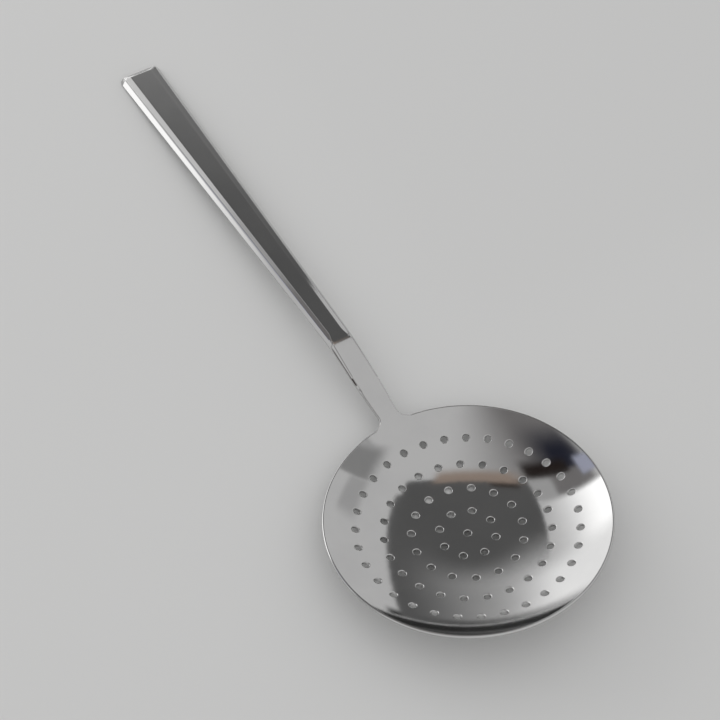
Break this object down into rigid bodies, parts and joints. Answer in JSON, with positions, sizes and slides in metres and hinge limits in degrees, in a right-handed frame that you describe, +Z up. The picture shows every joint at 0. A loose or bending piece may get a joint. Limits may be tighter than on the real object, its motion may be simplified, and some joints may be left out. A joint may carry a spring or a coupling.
{
  "type": "skimmer",
  "caption": "Steel kitchen skimmer in one piece: a shallow round dish full of drain holes, and a flat tapering handle that rises from the rim and bends.",
  "frame": {"origin": "middle of the bounding box in X and Y, on the table that the piece lies on", "axes": "+X from the dish towards the handle's end, +Z up, with the hollow of the dish facing up"},
  "size_m": [0.359, 0.12, 0.0246],
  "materials": {
    "steel": "satin polish"
  },
  "bodies": {
    "root": {"skimmer": "steel"}
  },
  "joints": []
}
